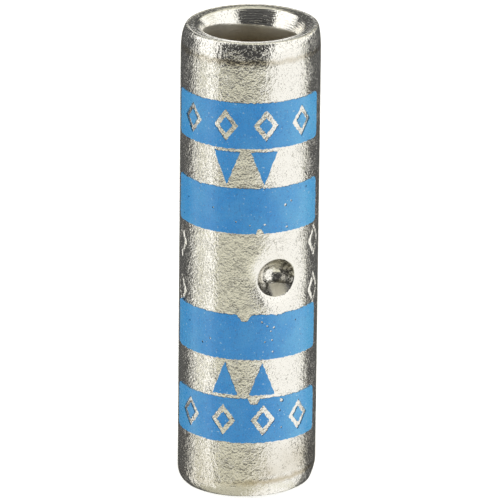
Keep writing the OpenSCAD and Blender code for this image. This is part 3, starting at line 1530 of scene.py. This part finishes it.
@dataclass
class Print:
    """Film of ink on the barrel, in the place of one node."""

    node: str
    low: float
    high: float
    wrap: Wrap
    seed: int

    def height(self) -> float:
        """Height of the print."""
        return self.high - self.low

    def lay(self, drawing: InkDrawing, width: float) -> bpy.types.Object:
        """Fills a drawing and wraps it round the barrel.

        Args:
            drawing: The drawing.
            width: Its width.

        Returns:
            The finished print.
        """
        piece = drawing.fill()
        self.wrap.lay(piece, width, (self.low + self.high) / 2)
        return piece

    def dress(self, piece: bpy.types.Object, ink: bpy.types.Material) -> None:
        """Gives the print its ink."""
        piece.data.materials.append(ink)


@dataclass
class PrintedBand(Print):
    """Band of ink, with a row of open diamonds if it is an end band."""

    width: float = 9.3 * MM
    corner: float = 0.25 * MM
    diamonds: int = 0
    diamond_w: float = 1.35 * MM
    diamond_h: float = 1.75 * MM
    diamond_line: float = 0.26 * MM
    diamond_pitch: float = 2.15 * MM
    fleck_gap: float = 0.1 * MM
    stray_flecks: int = 5
    stray_reach: Span = (0.46, 0.42)
    stray_size: Span = (0.08 * MM, 0.12 * MM)
    nicks: tuple[Nick, ...] = ()
    flecks: tuple[Fleck, ...] = ()

    def diamond_places(self) -> list[float]:
        """Middles of the diamonds along the band."""
        return [(i - (self.diamonds - 1) / 2) * self.diamond_pitch for i in range(self.diamonds)]

    def all_flecks(self) -> list[Fleck]:
        """Adds strewn flecks to those that are listed.

        Returns:
            All flecks of the band.
        """
        draw = random.Random(self.seed)
        wide, tall = self.stray_reach
        flecks = list(self.flecks)
        for _ in range(self.stray_flecks):
            x = draw.uniform(-wide, wide) * self.width
            y = draw.uniform(-tall, tall) * self.height()
            fleck = Fleck(x, y, draw.uniform(*self.stray_size))
            if not self.touches(fleck, flecks):
                flecks.append(fleck)
        return flecks

    def touches(self, fleck: Fleck, others: Iterable[Fleck]) -> bool:
        """Says whether a fleck would touch a diamond, a nick or another fleck.

        Args:
            fleck: Fleck to place.
            others: Flecks placed before it.

        Returns:
            Whether its place is taken.
        """
        room = self.fleck_gap + fleck.size
        for x in self.diamond_places():
            if abs(fleck.x - x) < self.diamond_w / 2 + room and abs(fleck.y) < self.diamond_h / 2 + room:
                return True
        for nick in self.nicks:
            bottom = self.height() / 2 - nick.depth - room
            if abs(fleck.x - nick.place) < nick.width / 2 + room and fleck.y * nick.edge.value > bottom:
                return True
        return any(math.hypot(f.x - fleck.x, f.y - fleck.y) < f.size + room for f in others)

    def build(self) -> bpy.types.Object:
        """Models the band.

        Returns:
            The finished print.
        """
        drawing = InkDrawing(self.node + "_print", self.seed)
        outline = drawing.band(self.width, self.height(), self.corner)
        for nick in self.nicks:
            drawing.nick(outline, nick, self.height())
        inner = 1 - 2 * self.diamond_line * math.hypot(1 / self.diamond_w, 1 / self.diamond_h)
        for x in self.diamond_places():
            for share in (1.0, inner):
                drawing.ring(Mark.DIAMOND, share * self.diamond_w, share * self.diamond_h, (x, 0.0))
        for fleck in self.all_flecks():
            drawing.ring(Mark.FLECK, fleck.size, fleck.size, (fleck.x, fleck.y))
        return self.lay(drawing, self.width)


@dataclass
class ArrowPair(Print):
    """Two solid arrowheads that point to the wire stop."""

    way: Way
    arrow_w: float = 1.4 * MM
    pitch: float = 2.0 * MM

    def build(self) -> bpy.types.Object:
        """Models the pair.

        Returns:
            The finished print.
        """
        drawing = InkDrawing(self.node + "_print", self.seed)
        for side in (-0.5, 0.5):
            height = self.height() * self.way.value
            drawing.ring(Mark.ARROWHEAD, self.arrow_w, height, (side * self.pitch, 0.0))
        return self.lay(drawing, self.pitch + self.arrow_w)


@dataclass(frozen=True)
class Sky:
    """Direction of a ray: its three parts, and degrees round from the front, from the back and up."""

    x: Signal
    y: Signal
    z: Signal
    round_front: Signal
    from_back: Signal
    rise: Signal

    @classmethod
    def look(cls, bench: NodeBench) -> Sky:
        """Measures the direction.

        Args:
            bench: Bench of the world.

        Returns:
            The signals.
        """
        way = bench.node("TexCoord", output="Generated")
        x, y, z = (bench.node("SeparateXYZ", output=axis, sockets={"Vector": way}) for axis in "XYZ")
        round_front = x.math("ARCTAN2", y * -1.0) * DEGREES
        rise = z.math("ARCSINE") * DEGREES
        return cls(x, y, z, round_front, 180.0 - abs(round_front), rise)


@dataclass(frozen=True)
class Shift:
    """Move of a soft box's border, in degrees, while the rise goes through a span."""

    low: float
    high: float
    move: float


@dataclass(frozen=True)
class Border:
    """Upright border of a soft box, in degrees round from the front."""

    place: float
    blur: Span
    shifts: tuple[Shift, ...]

    def passed(self, bench: NodeBench, sky: Sky, round_it: Signal) -> Signal:
        """Finds what lies beyond the border.

        Args:
            bench: Bench of the world.
            sky: The direction.
            round_it: Degrees round from the front, on the box's side.

        Returns:
            1 beyond the border and 0 before it.
        """
        place = self.place
        for shift in self.shifts:
            place = bench.step(sky.rise, shift.low, shift.high) * shift.move + place
        return bench.step(round_it, place - self.blur[0], place + self.blur[1])


@dataclass(frozen=True)
class SoftBox:
    """Tall soft box at one side of the part."""

    inner: Border
    outer: Border

    def lit(self, bench: NodeBench, sky: Sky, round_it: Signal) -> Signal:
        """1 in the box and 0 beside it."""
        return self.inner.passed(bench, sky, round_it) * (1.0 - self.outer.passed(bench, sky, round_it))


@dataclass(frozen=True)
class Patch:
    """Lit patch behind the part, on both sides of the back: its borders in degrees, and its level."""

    start: Span
    end: Span
    foot: Span
    top: Span
    level: float

    def lit(self, bench: NodeBench, sky: Sky) -> Signal:
        """Light that comes from the patch.

        Args:
            bench: Bench of the world.
            sky: The direction.

        Returns:
            Its level, which is 0 outside the patch.
        """
        across = bench.step(sky.from_back, *self.start) * bench.fall(sky.from_back, *self.end)
        upright = bench.step(sky.rise, *self.foot) * bench.fall(sky.rise, *self.top)
        return across * upright * self.level


@dataclass(frozen=True)
class LightTent:
    """Soft boxes at both sides of the part, a dark gap in front, a pale ground and patches behind.

    Places are in degrees. A patch that starts at BACK_MIDDLE has no gap at the back, and one that stands on
    NADIR has no lower border.
    """

    right: SoftBox = SoftBox(
        Border(31.0, (1.5, 1.5), (Shift(15.0, 40.0, 11.0),)),
        Border(
            123.0,
            (5.0, 3.0),
            (
                Shift(-36.0, -24.0, -7.0),
                Shift(-23.0, -16.5, -17.0),
                Shift(-5.0, 6.0, 28.0),
                Shift(7.0, 13.0, 20.0),
                Shift(21.0, 29.0, -42.0),
            ),
        ),
    )
    left: SoftBox = SoftBox(
        Border(57.5, (2.0, 2.0), (Shift(15.0, 35.0, 6.0), Shift(-14.0, -6.0, -3.5))),
        Border(110.5, (2.0, 2.0), (Shift(8.0, 14.0, 22.5), Shift(-23.0, -16.5, -13.0))),
    )
    box_foot: Span = (-48.0, -40.0)
    box_top: Span = (70.0, 80.0)
    right_level: float = 1.12
    right_dip: float = 0.12
    left_level: float = 1.22
    left_dip: float = 0.06
    seam_dip: float = 0.90
    ground: Span = (-9.0, 2.0)
    low_wall: Span = (-14.0, -8.0)
    seam_start: Span = (75.0, 79.0)
    seam_end: Span = (92.0, 96.0)
    front_end: Span = (100.0, 112.0)
    front_right: Span = (-4.0, 31.0)
    front_gain: float = 0.3
    under_end: Span = (108.0, 150.0)
    under_right: Span = (0.0, 30.0)
    under_level: float = 0.46
    under_gain: float = 0.60
    overhead: tuple[float, float, float] = (0.33, 0.30, 0.895)
    overhead_edge: Span = (47.0, 43.0)
    overhead_level: float = 0.80
    dim_level: float = 0.055
    dim_sides: Span = (30.0, 45.0)
    dim_side_gain: float = 0.03
    dim_top: Span = (30.0, 50.0)
    dim_top_gain: float = 0.08
    patches: tuple[Patch, ...] = (
        Patch(BACK_MIDDLE, (7.0, 12.0), (-32.0, -26.0), (6.0, 10.0), 1.3),
        Patch(BACK_MIDDLE, (1.2, 2.8), (4.0, 8.0), (11.0, 14.0), 1.2),
        Patch((20.0, 23.0), (42.0, 46.0), (-8.0, -5.0), (6.0, 10.0), 0.16),
        Patch((43.0, 46.0), (56.0, 60.0), (-2.0, 2.0), (12.0, 16.0), 0.18),
        Patch((33.0, 35.0), (39.0, 41.0), NADIR, (-9.0, 2.0), 0.16),
        Patch((56.0, 58.0), (60.0, 62.0), NADIR, (-9.0, 2.0), 0.16),
    )
    grey: Colour = (1.0, 0.995, 0.98, 1.0)
    warm: Colour = (1.0, 0.98, 0.80, 1.0)
    white: Colour = (1.0, 0.995, 0.965, 1.0)
    warm_from: Span = (0.15, 0.40)
    white_from: Span = (0.75, 1.0)

    def boxes(self, bench: NodeBench, sky: Sky) -> Signal:
        """Lights both soft boxes, the left one with a dark seam low down.

        Args:
            bench: Bench of the world.
            sky: The direction.

        Returns:
            Level of their light.
        """
        round_left = sky.round_front * -1.0
        low = bench.fall(sky.rise, *self.low_wall)
        seam = bench.step(round_left, *self.seam_start) * bench.fall(round_left, *self.seam_end)
        right_level = self.right_level - bench.fall(sky.rise, *self.ground) * self.right_dip
        left_level = self.left_level - low * self.left_dip - seam * low * self.seam_dip
        right = self.right.lit(bench, sky, sky.round_front) * right_level
        left = self.left.lit(bench, sky, round_left) * left_level
        return (right + left) * bench.step(sky.rise, *self.box_foot) * bench.fall(sky.rise, *self.box_top)

    def front(self, bench: NodeBench, sky: Sky) -> Signal:
        """Lights the gap in front, which is dark ahead and pale towards the ground.

        Args:
            bench: Bench of the world.
            sky: The direction.

        Returns:
            Level of its light.
        """
        level_at_rise = {
            -48.0: 0.56,
            -40.0: 0.60,
            -30.0: 0.78,
            -24.0: 0.76,
            -19.6: 0.60,
            -15.5: 0.37,
            -12.5: 0.15,
            -9.5: 0.09,
            -5.0: 0.06,
            0.0: 0.05,
        }
        belly = bench.ramp(sky.rise, level_at_rise)
        facing = bench.fall(abs(sky.round_front), *self.front_end)
        return facing * belly * (bench.step(sky.round_front, *self.front_right) * self.front_gain + 1.0)

    def under(self, bench: NodeBench, sky: Sky) -> Signal:
        """Lights the ground close to the part, more at the right.

        Args:
            bench: Bench of the world.
            sky: The direction.

        Returns:
            Level of its light.
        """
        below = bench.fall(sky.rise, *self.box_foot) * bench.fall(abs(sky.round_front), *self.under_end)
        rightwards = bench.step(sky.round_front, *self.under_right)
        return below * (rightwards * self.under_gain + self.under_level)

    def top(self, bench: NodeBench, sky: Sky) -> Signal:
        """Lights a round patch overhead.

        Args:
            bench: Bench of the world.
            sky: The direction.

        Returns:
            Level of its light.
        """
        x, y, z = self.overhead
        towards = sky.x * x + sky.y * y + sky.z * z
        edge = (math.cos(math.radians(angle)) for angle in self.overhead_edge)
        return bench.step(towards, *edge) * self.overhead_level

    def level(self, bench: NodeBench, sky: Sky) -> Signal:
        """Takes the brightest light in each direction.

        Args:
            bench: Bench of the world.
            sky: The direction.

        Returns:
            Level of the light.
        """
        level = bench.step(abs(sky.round_front), *self.dim_sides) * self.dim_side_gain + self.dim_level
        level = level + bench.step(sky.rise, *self.dim_top) * self.dim_top_gain
        for light in (self.boxes, self.front, self.under, self.top):
            level = level.larger(light(bench, sky))
        for patch in self.patches:
            level = level.larger(patch.lit(bench, sky))
        return level

    def hang(self) -> None:
        """Makes the tent the scene's world, which the camera itself sees as white paper."""
        world = bpy.data.worlds.new("studio")
        bpy.context.scene.world = world
        world.use_nodes = True
        bench = NodeBench(world.node_tree)
        level = self.level(bench, Sky.look(bench))
        colour = bench.blend(bench.step(level, *self.warm_from), self.grey, self.warm)
        colour = bench.blend(bench.step(level, *self.white_from), colour, self.white)
        light = bench.node("Background", sockets={"Color": colour, "Strength": level})
        paper = bench.node("Background", sockets={"Color": (1.0, 1.0, 1.0, 1.0), "Strength": 1.0})
        seen = bench.node("LightPath", output="Is Camera Ray")
        surface = bench.node("MixShader", sockets={0: seen, 1: light, 2: paper})
        bench.node("OutputWorld", sockets={"Surface": surface})


@dataclass
class Studio:
    """Pale floor, light tent and camera."""

    middle: Vector
    elevation: float = math.radians(19.58)
    distance: float = 383.7 * MM
    lens_mm: float = 521.1
    sensor_mm: float = 36.0
    lean: float = math.radians(0.623)
    aim_right: float = 0.070 * MM
    aim_up: float = 0.062 * MM
    clip: Span = (0.01, 20.0)
    floor_size: float = 6.0

    def camera(self) -> None:
        """Stands the camera where the photograph was taken from."""
        back = Vector((0.0, -math.cos(self.elevation), math.sin(self.elevation)))
        right = Vector((1.0, 0.0, 0.0))
        up = back.cross(right)
        turned_right = right * math.cos(self.lean) + up * math.sin(self.lean)
        turned_up = up * math.cos(self.lean) - right * math.sin(self.lean)
        stand = self.middle + turned_right * self.aim_right + turned_up * self.aim_up + back * self.distance
        data = bpy.data.cameras.new("camera")
        data.lens = self.lens_mm
        data.sensor_width = self.sensor_mm
        data.clip_start, data.clip_end = self.clip
        camera = bpy.data.objects.new("camera", data)
        bpy.context.scene.collection.objects.link(camera)
        turn = Matrix((turned_right, turned_up, back)).transposed().to_4x4()
        camera.matrix_world = Matrix.Translation(stand) @ turn
        bpy.context.scene.camera = camera

    def floor(self) -> None:
        """Lays the pale floor, which mirrors don't show."""
        Hand.free()
        bpy.ops.mesh.primitive_plane_add(size=self.floor_size)
        floor = bpy.context.object
        floor.name = "floor"
        floor.visible_glossy = False
        floor.data.materials.append(PaleFloor().make())

    def light(self) -> None:
        """Hangs the light tent and shows its tones as they are."""
        LightTent().hang()
        bpy.context.scene.view_settings.view_transform = "Standard"


def mount_radius(name: str) -> float:
    """Radius of one of the part's round mounts, in metres."""
    mount = next(m for m in frame["record"]["mounts"] if m["name"] == name)
    return mount["dims"]["r_mm"] * MM


def place(piece: bpy.types.Object, node: str, slot: str) -> None:
    """Puts a finished piece on the part in the place of its node.

    Args:
        piece: The piece.
        node: Node that it stands for.
        slot: Material slot that it belongs to; not used.
    """
    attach(piece, "root")
    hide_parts(node)
    LOG.info("%s: %d faces", piece.name, len(piece.data.polygons))


def heights(node: str) -> tuple[float, float]:
    """Lowest and highest level of a node."""
    low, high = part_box(node)
    return low.z, high.z


def prints(radius: float) -> list[PrintedBand | ArrowPair]:
    """Lists the prints on the barrel.

    Args:
        radius: Radius of the barrel.

    Returns:
        The bands and arrowheads, not built yet.
    """
    film = -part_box("upper_inner_band")[0].y - radius
    wrap = Wrap(radius, film)
    upper_nicks = (
        Nick(Edge.BOTTOM, 0.78 * MM, 0.42 * MM, 0.26 * MM),
        Nick(Edge.TOP, -2.6 * MM, 0.3 * MM, 0.05 * MM),
    )
    lower_nicks = (
        Nick(Edge.TOP, 0.02 * MM, 0.66 * MM, 0.36 * MM),
        Nick(Edge.TOP, 1.9 * MM, 0.7 * MM, 0.07 * MM),
    )
    end_nicks = (Nick(Edge.TOP, 0.55 * MM, 0.6 * MM, 0.34 * MM),)
    end_flecks = (Fleck(2.1 * MM, 1.05 * MM, 0.22 * MM),)
    upper_flecks = (
        Fleck(2.55 * MM, 0.40 * MM, 0.12 * MM),
        Fleck(2.20 * MM, 0.22 * MM, 0.15 * MM),
        Fleck(1.05 * MM, -0.75 * MM, 0.12 * MM),
        Fleck(2.30 * MM, -1.0 * MM, 0.14 * MM),
        Fleck(-1.75 * MM, 0.05 * MM, 0.10 * MM),
    )
    lower_flecks = (
        Fleck(0.95 * MM, 0.85 * MM, 0.14 * MM),
        Fleck(1.25 * MM, 0.60 * MM, 0.12 * MM),
        Fleck(1.45 * MM, 0.30 * MM, 0.10 * MM),
        Fleck(1.62 * MM, 0.50 * MM, 0.13 * MM),
        Fleck(1.52 * MM, -0.20 * MM, 0.11 * MM),
        Fleck(-2.35 * MM, -0.55 * MM, 0.12 * MM),
    )
    bands = (
        ("upper_end_band", 11, 4, (), ()),
        ("upper_inner_band", 23, 0, upper_nicks, upper_flecks),
        ("lower_inner_band", 37, 0, lower_nicks, lower_flecks),
        ("lower_end_band", 53, 4, end_nicks, end_flecks),
    )
    arrows = (("upper_arrows", 71, Way.DOWN), ("lower_arrows", 83, Way.UP))
    return [
        PrintedBand(node, *heights(node), wrap, seed, diamonds=diamonds, nicks=nicks, flecks=flecks)
        for node, seed, diamonds, nicks, flecks in bands
    ] + [ArrowPair(node, *heights(node), wrap, seed, way) for node, seed, way in arrows]


def main() -> None:
    """Builds the part and the studio in order."""
    logging.basicConfig(level=logging.INFO, format="%(name)s %(message)s")
    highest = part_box("barrel")[1]
    barrel = Barrel(radius=highest.x, length=highest.z, bore=mount_radius("upper_wire_bore"))
    tube = barrel.build()
    barrel.dress(tube)
    place(tube, "barrel", "tin")
    ink = PrintingInk().make()
    for item in prints(barrel.radius):
        piece = item.build()
        item.dress(piece, ink)
        place(piece, item.node, "ink")
    studio = Studio(middle=Vector((0.0, 0.0, barrel.length / 2)))
    studio.floor()
    studio.light()
    studio.camera()


if __name__ == "__main__":
    main()
